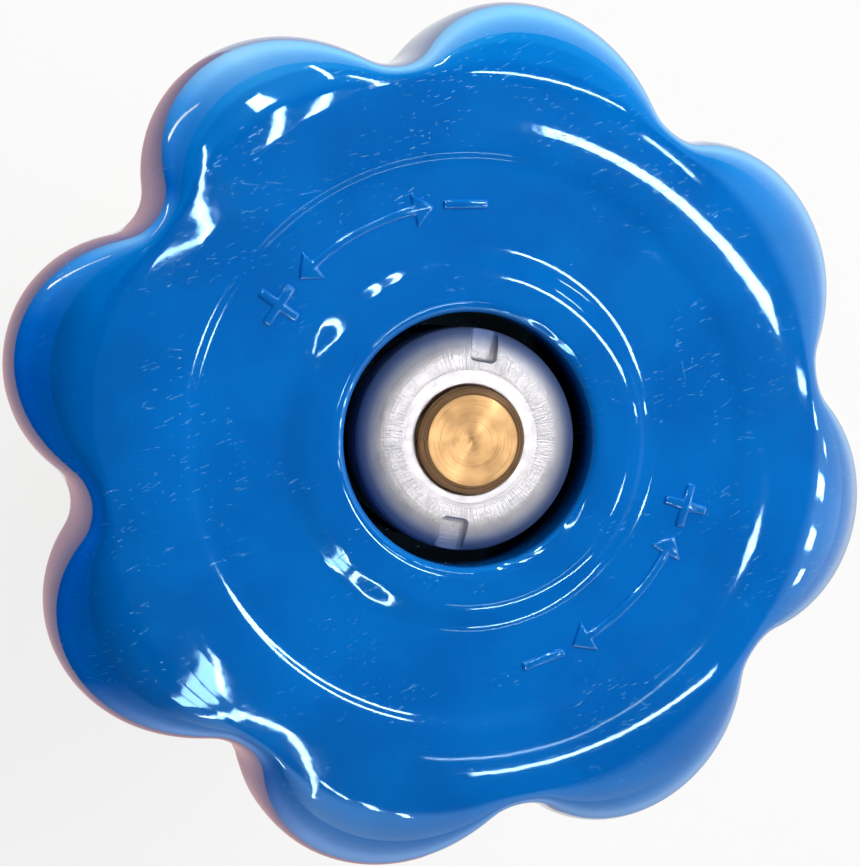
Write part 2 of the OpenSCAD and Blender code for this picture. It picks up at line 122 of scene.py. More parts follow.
def smooth(piece, angle=35):
    """Smooth shading, sharp only where faces meet at more than the angle in degrees."""
    piece.data.polygons.foreach_set("use_smooth", [True] * len(piece.data.polygons))
    piece.data.set_sharp_from_angle(angle=math.radians(angle))


def loop_faces(rows, columns, closed):
    """Quads between rings of points; closed joins the last ring to the first."""
    faces = []
    for k in range(rows if closed else rows - 1):
        m = (k + 1) % rows
        for i in range(columns):
            j = (i + 1) % columns
            faces.append((k * columns + i, k * columns + j, m * columns + j, m * columns + i))
    return faces


def arc(centre, radius, start, end, steps):
    """Points (r, z) along an arc between two angles in degrees."""
    points = []
    for k in range(steps + 1):
        a = math.radians(start + (end - start) * k / steps)
        points.append((centre[0] + radius * math.cos(a), centre[1] + radius * math.sin(a)))
    return points


def revolve(profile, columns, closed=True):
    """Rings round Z through (r, z) points. Closed joins the last ring to the first, which makes a solid."""
    vertices = []
    for r, z in profile:
        for i in range(columns):
            a = 2 * math.pi * i / columns
            vertices.append((r * math.cos(a), r * math.sin(a), z))
    return vertices, loop_faces(len(profile), columns, closed)


def join(*parts):
    """Several (vertices, faces) pairs as one."""
    vertices, faces = [], []
    for some_vertices, some_faces in parts:
        shift = len(vertices)
        vertices.extend(some_vertices)
        faces.extend(tuple(i + shift for i in face) for face in some_faces)
    return vertices, faces


def placed(part, matrix):
    """A (vertices, faces) pair moved by a matrix."""
    vertices, faces = part
    return [matrix @ Vector(v) for v in vertices], faces


def prism(outline, low, high):
    """A straight prism from a plan outline of (x, y) points."""
    n = len(outline)
    vertices = [(x, y, z) for z in (low, high) for x, y in outline]
    faces = [(i, (i + 1) % n, n + (i + 1) % n, n + i) for i in range(n)]
    return vertices, [tuple(range(n - 1, -1, -1)), tuple(range(n, 2 * n)), *faces]


def box_part(low, high):
    """A box between two opposite corners."""
    (x0, y0, z0), (x1, y1, z1) = low, high
    return prism([(x0, y0), (x1, y0), (x1, y1), (x0, y1)], z0, z1)


# ---- handwheel -----------------------------------------------------------------


def outline_r(angle):
    """Radius of the lobed outline at an angle from the first lobe's middle, in radians."""
    half = math.pi / LOBES
    p = abs((angle + half) % (2 * half) - half)
    valley_c = LOBE_C * math.cos(half) + math.sqrt((LOBE_R + VALLEY_R) ** 2 - (LOBE_C * math.sin(half)) ** 2)
    share = LOBE_R / (LOBE_R + VALLEY_R)
    end_x = LOBE_C + share * (valley_c * math.cos(half) - LOBE_C)
    end_y = share * valley_c * math.sin(half)
    if p < math.atan2(end_y, end_x):
        return LOBE_C * math.cos(p) + math.sqrt(LOBE_R**2 - (LOBE_C * math.sin(p)) ** 2)
    q = half - p
    return valley_c * math.cos(q) - math.sqrt(VALLEY_R**2 - (valley_c * math.sin(q)) ** 2)


def crown(r):
    """How far the crown lowers the top at a radius."""
    return CROWN_DROP * (max(0.0, r - CREST_R) / (WHEEL_TIP_R - CREST_R)) ** 2


def hexagon_r(angle):
    """Radius of the insert's hexagonal hole at an angle from the middle of a flat."""
    sixth = math.pi / 3
    return HEX_AF / 2 / math.cos((angle + sixth / 2) % sixth - sixth / 2)


def eased_step(middle_r, width, start_z, end_z):
    """A step between two levels as two equal arcs, from the inner level to the outer one."""
    steps = 8  # to each of the two arcs
    half_w, half_h = width / 2, (end_z - start_z) / 2
    angle = 2 * math.atan2(abs(half_h), half_w)
    radius = half_w / math.sin(angle)
    side = 1 if half_h > 0 else -1
    inner, outer = [], []
    for k in range(steps + 1):
        t = angle * k / steps
        run, rise = radius * math.sin(t), side * radius * (1 - math.cos(t))
        inner.append((middle_r - half_w + run, start_z + rise))
        outer.append((middle_r + half_w - run, end_z - rise))
    return inner + outer[-2::-1]


def wheel_top_profile():
    """(r, z) from the floor of the nut's well, over the boss and the dish, to the crown."""
    well = [(HOLE_R, z) for z in (HUB_TOP, HUB_TOP + 2, BOSS_Z - 2, BOSS_Z - LIP - 0.4)]
    lean = 20  # degrees at which the wide ease of the boss's top meets the tight round of the lip
    ease_r = LIP_EASE / math.sin(math.radians(lean))
    ease_start = HOLE_R + LIP * (1 - math.sin(math.radians(lean))) + LIP_EASE
    lip_z = BOSS_Z - ease_r + (ease_r - LIP) * math.cos(math.radians(lean))
    lip = arc((HOLE_R + LIP, lip_z), LIP, 180, 90 + lean, 8)
    lip += arc((ease_start, BOSS_Z - ease_r), ease_r, 90 + lean, 90, 8)[1:]
    beside = 0.2  # how far from a step the ring stands that keeps its shading clean
    boss = [(HOLE_R + 1.7, BOSS_Z), (BOSS_R - BOSS_STEP / 2 - beside, BOSS_Z)]
    boss += eased_step(BOSS_R, BOSS_STEP, BOSS_Z, DISH_Z)
    floor_radii = (BOSS_R + BOSS_STEP / 2 + beside, DISH_R - 3, DISH_R - DISH_STEP / 2 - beside)
    floor = [(r, DISH_Z) for r in floor_radii]
    step = eased_step(DISH_R, DISH_STEP, DISH_Z, WHEEL_H - 0.01)
    steps = 12
    radii = [CREST_R + (ROLL_R - CREST_R) * k / steps for k in range(steps + 1)]
    crowned = [(r, WHEEL_H - crown(r)) for r in radii]
    return well + lip + boss + floor + step + crowned


def wheel_rings():
    """Rings as functions of the angle, each giving (r, z), round the wheel's closed section."""
    rings = [lambda a: (hexagon_r(a + LOBE_TURN), HUB_TOP)]
    rings += [lambda a, p=p: p for p in wheel_top_profile()]

    def lobed(share, inset, z, crowned=False):
        """A ring between the round roll (share 0) and the lobed outline (share 1)."""
        def ring(a):
            r = ROLL_R + (outline_r(a) - ROLL_R) * share - inset
            return r, z - (crown(r) if crowned else 0)

        return ring

    power = 2 / SHOULDER_POWER
    steps = 36
    for k in range(1, steps + 1):
        t = math.pi / 2 * (1 - (k / steps) ** 0.8)
        height = SHOULDER_Z + SHOULDER_H * math.sin(t) ** power
        rings.append(lobed(max(math.cos(t), 0.0) ** power, 0, height, True))
    for inset, z in ((0.02, BAND_Z + 1.2), (0.06, BAND_Z), (SKIRT_IN * 0.55, 2.0)):
        rings.append(lobed(1, inset, z))
    quarter = [math.radians(15 * k) for k in range(7)]
    for a in quarter:
        inset = SKIRT_IN + SKIRT_ROUND * (1 - math.cos(a))
        rings.append(lobed(1, inset, SKIRT_ROUND * (1 - math.sin(a))))
    for a in quarter:
        inset = SKIRT_IN + SKIN - SKIRT_ROUND * (1 - math.sin(a))
        rings.append(lobed(1, inset, SKIRT_ROUND * (1 - math.cos(a))))
    for k in range(steps, 0, -2):
        t = math.pi / 2 * (1 - k / steps)
        share = max(math.cos(t), 0.0) ** power
        height = SHOULDER_Z + (SHOULDER_H - SKIN) * math.sin(t) ** power
        rings.append(lobed(share, SKIN * share, height, True))
    web_z = DISH_Z - SKIN
    fillet, edge = 0.8, 0.5  # rounds where the hub meets the web and at the hub's lower end
    under = [(DISH_R + 1.5, web_z), (HUB_R + 1.2, web_z)]
    under += arc((HUB_R + fillet, web_z - fillet), fillet, 90, 180, 4)
    under += [(HUB_R, HUB_Z + 0.6)]
    under += arc((HUB_R - edge, HUB_Z + edge), edge, 0, -90, 4)
    rings += [lambda a, p=p: p for p in under]
    rings.append(lambda a: (hexagon_r(a + LOBE_TURN), HUB_Z))
    return rings


def wheel_shell():
    """The wheel without its ribs, as one closed loft."""
    rings = wheel_rings()
    vertices = []
    for ring in rings:
        for i in range(COLUMNS):
            a = 2 * math.pi * i / COLUMNS
            r, z = ring(a)
            turned = a + LOBE_TURN
            vertices.append((r * math.cos(turned), r * math.sin(turned), z + WHEEL_Z))
    return vertices, loop_faces(len(rings), COLUMNS, True)


def wheel_rib(number):
    """One radial rib, drafted towards its lower edge."""
    top_z = DISH_Z - SKIN / 2  # inside the web
    inner, outer = HUB_R - 1, outline_r(math.pi / LOBES) - SKIRT_IN - SKIN / 2
    vertices = []
    for z, half in ((RIB_Z, RIB_T / 2 - RIB_DRAFT), (top_z, RIB_T / 2)):
        vertices += [(inner, -half, z), (outer, -half, z), (outer, half, z), (inner, half, z)]
    faces = [(3, 2, 1, 0), (4, 5, 6, 7), (0, 1, 5, 4), (1, 2, 6, 5), (2, 3, 7, 6), (3, 0, 4, 7)]
    angle = LOBE_TURN + (2 * number + 1) * math.pi / LOBES
    return placed((vertices, faces), Matrix.Translation((0, 0, WHEEL_Z)) @ Matrix.Rotation(angle, 4, "Z"))


def make_handwheel(material):
    """The moulded wheel with its ribs."""
    parts = [wheel_shell(), *(wheel_rib(k) for k in range(LOBES))]
    wheel = build_piece("smooth_handwheel", "wheel", *join(*parts), "wheel_plastic", 40)
    wheel.data.materials.append(material)
    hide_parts("handwheel")


def mark_outlines(middle):
    """Plan outlines of one turning mark: a plus, a double arrow on an arc, and a minus. Angles in degrees."""
    w, reach, head_w = 0.35, 1.7, 1.35  # half widths of a stroke, a sign and an arrow's head
    head, half_arc, sign_at = 5.2, 14, 27  # degrees round the ring
    steps = 24
    low, high = middle - half_arc, middle + half_arc

    def at(r, angle):
        return r * math.cos(math.radians(angle)), r * math.sin(math.radians(angle))

    angles = [low + (high - low) * k / steps for k in range(steps + 1)]
    arrow = [at(MARK_R + w, angle) for angle in angles]
    arrow += [at(MARK_R + head_w, high), at(MARK_R, high + head), at(MARK_R - head_w, high)]
    arrow += [at(MARK_R - w, angle) for angle in reversed(angles)]
    arrow += [at(MARK_R - head_w, low), at(MARK_R, low - head), at(MARK_R + head_w, low)]

    def sign(angle, corners):
        (x, y), turn = at(MARK_R, angle), math.radians(angle)
        c, s = math.cos(turn), math.sin(turn)
        return [(x + along * c - across * s, y + along * s + across * c) for along, across in corners]

    arm = [(reach, -w), (reach, w), (w, w)]
    plus = arm + [(-y, x) for x, y in arm] + [(-x, -y) for x, y in arm] + [(y, -x) for x, y in arm]
    minus = [(w, -reach), (w, reach), (-w, reach), (-w, -reach)]
    return [arrow, sign(middle + sign_at, plus), sign(middle - sign_at, minus)]


def make_marks(material):
    """Raised turning marks on the dished ring: plus to open, minus to close."""
    foot, rise = 0.3, 0.22
    low, high = WHEEL_Z + DISH_Z - foot, WHEEL_Z + DISH_Z + rise
    parts = [prism(outline, low, high) for middle in MARK_MIDDLES for outline in mark_outlines(middle)]
    marks = build_piece("turning_marks", "wheel", *join(*parts), "wheel_plastic")
    round_edges(marks, 0.2, 4)
    marks.data.materials.append(material)


def round_edges(piece, width, segments, angle=40):
    """Bevels the piece's sharp edges and keeps the result as its mesh. The width is in millimetres."""
    bevel = piece.modifiers.new("edges", "BEVEL")
    bevel.width = width * MM
    bevel.segments = segments
    bevel.limit_method = "ANGLE"
    bevel.angle_limit = math.radians(angle)
    apply_modifiers(piece)


def apply_modifiers(piece):
    """Makes what the modifiers give the piece's own mesh."""
    shape = bpy.data.meshes.new_from_object(piece.evaluated_get(bpy.context.evaluated_depsgraph_get()))
    piece.modifiers.clear()
    old = piece.data
    piece.data = shape
    bpy.data.meshes.remove(old)
    smooth(piece)


# ---- nut and spindle -------------------------------------------------------------

NUT_LOW, NUT_HIGH = (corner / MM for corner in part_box("retaining_nut"))
NUT_R = NUT_HIGH.x
NUT_H = NUT_HIGH.z - NUT_LOW.z
NUT_FLAT_R, NUT_BORE_R = 5.2, 4.05
NUT_DROP = 1.25  # how far the dome falls from its top to its edge
NUT_ROUND = 0.2  # small round where the dome meets the nut's side, and at the bore
NUT_PLACE = Matrix.Translation((0, 0, NUT_LOW.z))
SLOT_W, SLOT_L, SLOT_DEPTH, SLOT_TURN = 2.1, 2.5, 1.3, 80

SPINDLE_LOW, SPINDLE_HIGH = (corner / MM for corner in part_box("spindle"))
SPINDLE_THREAD_R, SPINDLE_FACE_R, SPINDLE_CHAMFER_H = 4.0, 3.38, 0.42
SHAFT_R, COLLAR_R, COLLAR_H = 5.5, 7.4, 3.4
SQUARE, DRIVE_SQUARE, DRIVE_L = 8.0, 5.0, 5.0
THREADS = {  # pitch and depth
    "spindle": (1.25, 0.62),
    "inlet_stem": (2.0, 1.15),
    "outlet_thread": (1.814, 1.0),
}
THREAD_ROWS = 12  # rings of points to one pitch
AXIS_R = 0.001  # radius of the rings that close a solid on its axis


def nut_profile():
    """(r, z) of the nut: its side, a gentle dome, a shallow groove round the flat top, and its bore."""
    chamfer, steps = 0.3, 30
    top_z, start_r = NUT_H - 0.03, NUT_FLAT_R + 0.6
    slope = 2 * math.atan2(NUT_DROP, NUT_R - start_r)
    dome_r = (NUT_R - start_r) / math.sin(slope)
    edge_z = top_z - NUT_DROP - NUT_ROUND * 0.5
    rim = [(NUT_R - chamfer, 0), (NUT_R, chamfer), (NUT_R, edge_z - NUT_ROUND)]
    rim += arc((NUT_R - NUT_ROUND, edge_z - NUT_ROUND * 0.4), NUT_ROUND, 0, 90 - math.degrees(slope), 5)
    dome = []
    for k in range(2, steps + 1):
        t = slope * (1 - k / steps)
        dome.append((start_r + dome_r * math.sin(t), top_z - dome_r * (1 - math.cos(t))))
    groove = [(NUT_FLAT_R + 0.4, NUT_H - 0.025), (NUT_FLAT_R + 0.05, NUT_H - 0.02)]
    groove += [(NUT_FLAT_R, NUT_H - 0.03), (NUT_FLAT_R - 0.07, NUT_H)]
    lip = arc((NUT_BORE_R + NUT_ROUND, NUT_H - NUT_ROUND), NUT_ROUND, 90, 180, 5)
    return [(NUT_BORE_R, 0), *rim, *dome, *groove, *lip]


def slot_cutter():
    """Rounded bars where the nut's two spanner slots are, to be cut away and removed."""
    beyond, corner_r = 2, 0.42
    slot = box_part(
        (NUT_R - SLOT_L, -SLOT_W / 2, NUT_H - SLOT_DEPTH),
        (NUT_R + beyond, SLOT_W / 2, NUT_H + beyond),
    )
    turns = (Matrix.Rotation(math.radians(SLOT_TURN + turn), 4, "Z") for turn in (0, 180))
    bars = [placed(slot, NUT_PLACE @ turn) for turn in turns]
    cutter = build_piece("slot_cutter", "wheel", *join(*bars), "nut_steel")
    round_edges(cutter, corner_r, 5)
    return cutter


def make_nut(material):
    """The domed round nut with its two spanner slots."""
    nut = build_piece("domed_nut", "wheel", *placed(revolve(nut_profile(), 240), NUT_PLACE), "nut_steel")
    cutter = slot_cutter()
    cut = nut.modifiers.new("slots", "BOOLEAN")
    cut.object = cutter
    cut.operation = "DIFFERENCE"
    cut.solver = "EXACT"
    apply_modifiers(nut)
    bpy.data.objects.remove(cutter)
    round_edges(nut, 0.08, 2, 42)
    nut.data.materials.clear()
    nut.data.materials.append(material)
    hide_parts("retaining_nut")


def thread_wall(radius, low, high, pitch, depth, columns):
    """An open grid round Z whose radius follows a screw thread, fading to plain at both ends."""
    rows = max(int((high - low) / pitch * THREAD_ROWS), 2)
    runout = pitch * 0.6  # height over which the thread fades out
    vertices = []
    for k in range(rows + 1):
        z = low + (high - low) * k / rows
        fade = max(0.0, min(1.0, (z - low) / runout, (high - z) / runout))
        for i in range(columns):
            a = 2 * math.pi * i / columns
            turn = (z / pitch - i / columns) % 1.0
            groove = min(1.0, max(0.0, 1.25 - abs(turn - 0.5) * 3.4))  # flat root and crest, sloping flanks
            r = radius - depth * groove * fade
            vertices.append((r * math.cos(a), r * math.sin(a), z))
    return vertices, loop_faces(rows + 1, columns, False)


def spindle_end(columns):
    """The chamfered end face, very slightly hollow, with the small pit of the lathe's centre."""
    top, r, chamfer, corner = SPINDLE_HIGH.z, SPINDLE_FACE_R, SPINDLE_CHAMFER_H, 0.1
    profile = [(SPINDLE_THREAD_R, top - chamfer), (SPINDLE_THREAD_R - 0.05, top - chamfer + 0.08)]
    profile += arc((r - 0.05, top - corner), corner, 42, 90, 3)
    profile += [(inner, top - 0.02 * (1 - inner / r)) for inner in (2.6, 1.8, 1.0, 0.5)]
    profile += [(0.25, top - 0.06), (AXIS_R, top - 0.16)]
    return revolve(profile, columns, closed=False)


def square_bar(side, low, high):
    """A square bar along the axis."""
    return box_part((-side / 2, -side / 2, low), (side / 2, side / 2, high))


def make_spindle(material):
    """The spindle with its screw thread and its turned, chamfered end."""
    columns, overlap = 96, 0.5

    def rod(radius, low, high):
        return revolve([(AXIS_R, low), (radius, low), (radius, high), (AXIS_R, high)], columns)

    square_low, square_top = WHEEL_Z + HUB_Z - 1, NUT_LOW.z - 0.1
    shaft_low = SPINDLE_LOW.z + DRIVE_L
    thread_top = SPINDLE_HIGH.z - SPINDLE_CHAMFER_H
    parts = [
        thread_wall(SPINDLE_THREAD_R, square_top - 1, thread_top, *THREADS["spindle"], columns),
        spindle_end(columns),
        rod(SHAFT_R, shaft_low, square_low),
        rod(COLLAR_R, shaft_low, shaft_low + COLLAR_H),
        square_bar(SQUARE, square_low - 0.2, square_top),
        square_bar(DRIVE_SQUARE, SPINDLE_LOW.z, shaft_low + overlap),
    ]
    spindle = build_piece("turned_spindle", "wheel", *join(*parts), "spindle_brass", 30)
    spindle.data.materials.append(material)
    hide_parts("spindle")


# ---- threads of the body -----------------------------------------------------------


def make_body(material):
    """A copy of the body whose two plain thread walls are changed for real screw threads."""
    mesh = NODES["valve_body"].data.copy()
    piece = bpy.data.objects.new("threaded_body", mesh)
    bpy.context.scene.collection.objects.link(piece)
    mounts = {mount["name"]: mount for mount in frame["record"]["mounts"]}
    work = bmesh.new()
    work.from_mesh(mesh)
    for name in ("inlet_stem", "outlet_thread"):
        swap_wall(work, mounts[name], *THREADS[name])
    work.to_mesh(mesh)
    work.free()
    mesh.materials.clear()
    mesh.materials.append(material)
    smooth(piece, CAD_SHARP)
    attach(piece, "body")
    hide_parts("valve_body")


def swap_wall(work, mount, pitch, depth):
    """Removes the faces of a mount's plain round wall and puts a screw thread there."""
    radius = mount["dims"]["r_mm"]
    axis = Vector(mount["axis"]).normalized()
    point = Vector(mount["pos_m"]) / MM
    to_axis = axis.to_track_quat("Z", "Y").to_matrix().to_4x4()
    place = Matrix.Translation(point) @ to_axis
    back = place.inverted()
    near = 0.02  # how far from the wall a vertex may lie
    columns = 128
    gone, heights = [], []
    for face in work.faces:
        local = [back @ (v.co / MM) for v in face.verts]
        if all(abs(math.hypot(p.x, p.y) - radius) < near for p in local):
            gone.append(face)
            heights += [p.z for p in local]
    bmesh.ops.delete(work, geom=gone, context="FACES")
    vertices, faces = thread_wall(radius, min(heights), max(heights), pitch, depth, columns)
    made = [work.verts.new((place @ Vector(v)) * MM) for v in vertices]
    for face in faces:
        work.faces.new([made[i] for i in face])


# ---- materials ----------------------------------------------------------------------


def srgb(red, green, blue):
    """A colour written as 0 to 255 on screen, as the shader wants it."""
    linear = []
    for value in (red, green, blue):
        c = value / 255
        linear.append(c / 12.92 if c <= 0.04045 else ((c + 0.055) / 1.055) ** 2.4)
    return (*linear, 1.0)


class Look:
    """A material and the few node recipes that the looks below share."""

    def __init__(self, name, colour, roughness, metallic=0.0, **fixed):
        self.material = bpy.data.materials.new(name)
        self.material.use_nodes = True
        self.tree = self.material.node_tree
        self.shader = self.tree.nodes["Principled BSDF"]
        self.shader.inputs["Base Color"].default_value = colour
        self.shader.inputs["Roughness"].default_value = roughness
        self.shader.inputs["Metallic"].default_value = metallic
        for socket, value in fixed.items():
            self.shader.inputs[socket.replace("_", " ")].default_value = value
        place = self.node("ShaderNodeTexCoord").outputs["Object"]
        self.place = self.vector("SCALE", place, scale=1 / MM)

    def node(self, kind, **settings):
        """A new node with its settings."""
        made = self.tree.nodes.new(kind)
        for name, value in settings.items():
            setattr(made, name, value)
        return made

    def feed(self, value, socket):
        """Links a socket, or writes a constant, to an input."""
        if isinstance(value, bpy.types.NodeSocket):
            self.tree.links.new(value, socket)
        else:
            socket.default_value = value

    def vector(self, operation, a, b=None, scale=None):
        """The result of a vector operation."""
        made = self.node("ShaderNodeVectorMath", operation=operation)
        self.feed(a, made.inputs[0])
        if b is not None:
            self.feed(b, made.inputs[1])
        if scale is not None:
            made.inputs["Scale"].default_value = scale
        return made.outputs[0]

    def math(self, operation, a, b=0.0, c=0.0):
        """The result of an operation on numbers."""
        made = self.node("ShaderNodeMath", operation=operation)
        for value, socket in zip((a, b, c), made.inputs):
            self.feed(value, socket)
        return made.outputs[0]

    def noise(self, place, scale, detail, roughness=0.5, distortion=0.0):
        """A cloudy texture, 0 to 1."""
        made = self.node("ShaderNodeTexNoise")
        self.feed(place, made.inputs["Vector"])
        made.inputs["Scale"].default_value = scale
        made.inputs["Detail"].default_value = detail
        made.inputs["Roughness"].default_value = roughness
        made.inputs["Distortion"].default_value = distortion
        return made.outputs["Fac"]

    def range(self, value, low, high, to_low=0.0, to_high=1.0):
        """A smooth step from to_low to to_high as the value goes from low to high."""
        made = self.node("ShaderNodeMapRange", interpolation_type="SMOOTHSTEP")
        self.feed(value, made.inputs["Value"])
        for name, number in zip(("From Min", "From Max", "To Min", "To Max"), (low, high, to_low, to_high)):
            made.inputs[name].default_value = number
        return made.outputs["Result"]

    def mix(self, share, a, b):
        """The colour between a and b at a share of b."""
        made = self.node("ShaderNodeMix", data_type="RGBA")
        self.feed(share, made.inputs[0])
        self.feed(a, made.inputs[6])
        self.feed(b, made.inputs[7])
        return made.outputs[2]

    def split(self, vector):
        """The x, y and z of a vector."""
        parts = self.node("ShaderNodeSeparateXYZ")
        self.feed(vector, parts.inputs[0])
        return parts.outputs

    def polar(self, spin=1.0):
        """The place as (angle times spin, radius, height), and the radius and the angle by themselves."""
        x, y, z = self.split(self.place)
        angle = self.math("ARCTAN2", y, x)
        radius = self.math("SQRT", self.math("ADD", self.math("MULTIPLY", x, x), self.math("MULTIPLY", y, y)))
        joined = self.node("ShaderNodeCombineXYZ")
        for value, socket in zip((self.math("MULTIPLY", angle, spin), radius, z), joined.inputs):
            self.feed(value, socket)
        return joined.outputs[0], radius, angle

    def height(self):
        """The height in mm."""
        return self.split(self.place)[2]

    def stretched(self, place, along, across):
        """The place scaled apart, so that a texture on it runs in streaks."""
        made = self.node("ShaderNodeMapping", vector_type="POINT")
        self.feed(place, made.inputs["Vector"])
        made.inputs["Scale"].default_value = (along, across, across)
        return made.outputs[0]

    def dashes(self, place, spacing, turn, spread, length, width, share, seed):
        """Short straight scratches, at most one to a cell: 0 to 1. Sizes in mm, angles in radians."""
        cells = self.node("ShaderNodeTexVoronoi", feature="F1", voronoi_dimensions="2D")
        moved = self.vector("ADD", place, (seed * 7.3, seed * 3.1, 0.0))
        self.feed(moved, cells.inputs["Vector"])
        cells.inputs["Scale"].default_value = 1 / spacing
        chance = self.node("ShaderNodeSeparateColor")
        self.feed(cells.outputs["Color"], chance.inputs[0])
        pick, lean, size = chance.outputs
        turned = self.node("ShaderNodeVectorRotate", rotation_type="Z_AXIS")
        self.feed(self.vector("SUBTRACT", moved, cells.outputs["Position"]), turned.inputs["Vector"])
        self.feed(self.range(lean, 0.0, 1.0, turn - spread, turn + spread), turned.inputs["Angle"])
        x, y, _ = self.split(turned.outputs[0])
        reach = self.math("MULTIPLY", size, length / 2)
        along = self.math("SUBTRACT", reach, self.math("ABSOLUTE", x))
        inside = self.range(along, 0.0, width * 2)
        across = self.range(self.math("ABSOLUTE", y), width * 0.3, width * 0.7, 1.0, 0.0)
        here = self.math("LESS_THAN", pick, share)
        return self.math("MULTIPLY", here, self.math("MULTIPLY", inside, across))

    def bump(self, height, strength, distance, normal=None):
        """A normal that follows a height, with its distance in mm."""
        made = self.node("ShaderNodeBump")
        made.inputs["Strength"].default_value = strength
        made.inputs["Distance"].default_value = distance * MM
        self.feed(height, made.inputs["Height"])
        if normal is not None:
            self.feed(normal, made.inputs["Normal"])
        return made.outputs["Normal"]

    def soft_edges(self, radius):
        """A normal that rounds the edges by a radius in mm."""
        made = self.node("ShaderNodeBevel", samples=4)
        made.inputs["Radius"].default_value = radius * MM
        return made.outputs["Normal"]

    def colour(self, value):
        self.feed(value, self.shader.inputs["Base Color"])

    def rough(self, value):
        self.feed(value, self.shader.inputs["Roughness"])

    def normal(self, value):
        self.feed(value, self.shader.inputs["Normal"])

    def round_grain(self):
        """Lets the highlight follow the tool marks of a piece turned on a lathe."""
        tangent = self.node("ShaderNodeTangent", direction_type="RADIAL", axis="Z")
        self.feed(tangent.outputs[0], self.shader.inputs["Tangent"])


def wheel_plastic():
    """Glossy blue moulding with a soft mottle, short hair scratches and small pale knocks, and painted shade
    deep in the nut's well.
    """
    look = Look("wheel_plastic", srgb(0, 104, 192), 0.05, Specular_Tint=(0.45, 0.8, 1.0, 1.0))
    place = look.place
    mottle = look.range(look.noise(place, 0.12, 3.0), 0.35, 0.65)
    base = look.mix(mottle, srgb(0, 98, 185), srgb(0, 108, 197))
    scratches = (
        # spacing, turn, spread, length, width, share, seed
        (0.9, -0.40, 0.20, 0.9, 0.050, 0.40, 1),
        (0.6, -0.35, 0.25, 0.5, 0.045, 0.40, 2),
        (2.4, -0.15, 0.30, 1.8, 0.040, 0.25, 3),
        (3.8, 1.20, 0.60, 1.8, 0.040, 0.16, 4),
        (1.5, 0.30, 1.50, 0.4, 0.080, 0.06, 5),
    )
    marks = 0.0
    for scratch in scratches:
        marks = look.math("MAXIMUM", marks, look.dashes(place, *scratch))
    worn = look.range(look.noise(place, 0.13, 3.0, 0.6), 0.46, 0.62, 0.04, 1.0)
    marks = look.math("MULTIPLY", marks, worn)
    _, radius, _ = look.polar()
    # Painted shade: deep in the nut's well the colour turns a near-black navy, standing in for the shade that
    # falls there.
    in_well = look.range(radius, HOLE_R + 0.6, HOLE_R + 0.9, 1.0, 0.0)
    deep_shade = look.range(look.height(), WHEEL_Z + BOSS_Z - 5.5, WHEEL_Z + BOSS_Z - 1.5, 1.0, 0.0)
    darkened = look.mix(look.math("MULTIPLY", in_well, deep_shade), base, srgb(0, 12, 34))
    look.colour(look.mix(look.math("MULTIPLY", marks, 0.38), darkened, srgb(80, 168, 235)))
    grain = look.noise(place, 1.6, 3.0)
    look.rough(look.math("ADD", look.range(grain, 0.3, 0.7, 0.03, 0.055), look.math("MULTIPLY", marks, 0.12)))
    skin = look.bump(look.noise(place, 0.5, 2.0), 0.10, 0.05)
    look.normal(look.bump(marks, 0.3, 0.02, skin))
    return look.material


def spindle_brass():
    """Brass with fine lathe rings round the Z axis, tarnish, and a dark rim outside the worn end face."""
    colour, dark, roughness = srgb(204, 164, 114), srgb(160, 122, 80), 0.34
    look = Look("spindle_brass", colour, roughness, 1.0, Anisotropic=0.9, Anisotropic_Rotation=0.25)
    round_place, radius, _ = look.polar(spin=3.0)
    rings = look.noise(look.stretched(round_place, 0.12, 6.0), 1.0, 3.0, 0.7)
    stain = look.range(look.noise(look.place, 0.35, 4.0, 0.6), 0.35, 0.75, 0.0, 0.45)
    grime = look.range(rings, 0.3, 0.55, 0.7, 0.0)
    darkened = look.mix(look.math("MAXIMUM", stain, grime), colour, dark)
    outside = look.range(radius, SPINDLE_FACE_R - 0.04, SPINDLE_FACE_R + 0.04)
    rim = look.math("MULTIPLY", outside, look.range(rings, 0.35, 0.6, 1.0, 0.55))
    look.colour(look.mix(rim, darkened, srgb(104, 76, 58)))
    look.rough(look.range(look.noise(look.place, 0.9, 3.0), 0.3, 0.7, roughness - 0.05, roughness + 0.08))
    look.round_grain()
    look.normal(look.bump(rings, 0.6, 0.035))
    return look.material


def nut_steel():
    """Pale plated steel: turned rings on the flat, short radial chatter marks where the satin dome begins,
    and painted shade towards the dome's edge.
    """
    look = Look("nut_steel", srgb(206, 205, 208), 0.4, 1.0)
    round_place, radius, _ = look.polar(spin=8.0)
    rings = look.noise(look.stretched(round_place, 0.1, 4.0), 1.0, 3.0, 0.7)
    chatter = look.noise(look.stretched(round_place, 5.0, 0.8), 1.0, 3.0, 0.6, 0.5)
    belt = look.math("MULTIPLY", look.range(radius, 4.9, 5.3), look.range(radius, 6.1, 7.2, 1.0, 0.0))
    grain = look.noise(look.place, 6.0, 3.0, 0.6)
    stain = look.range(look.noise(look.place, 0.5, 4.0, 0.65), 0.4, 0.8)
    colour = look.mix(stain, srgb(212, 210, 213), srgb(190, 191, 198))
    # Painted shade and reflection: the dome's colour turns a dark slate blue towards its edge, standing in
    # for the shade and the blue well reflected there.
    look.colour(look.mix(look.range(radius, 6.3, 8.1), colour, srgb(82, 102, 144)))
    patchy = look.range(look.noise(look.place, 1.1, 3.0), 0.3, 0.7, -0.05, 0.07)
    look.rough(look.math("ADD", patchy, look.range(radius, 5.6, 8.0, 0.40, 0.52)))
    look.feed(look.range(radius, 6.8, 8.2, 1.0, 0.5), look.shader.inputs["Metallic"])
    height = 0.0
    for relief, share in ((rings, 0.35), (look.math("MULTIPLY", chatter, belt), 0.85), (grain, 0.16)):
        height = look.math("MULTIPLY_ADD", relief, share, height)
    look.normal(look.bump(height, 0.8, 0.10))
    return look.material


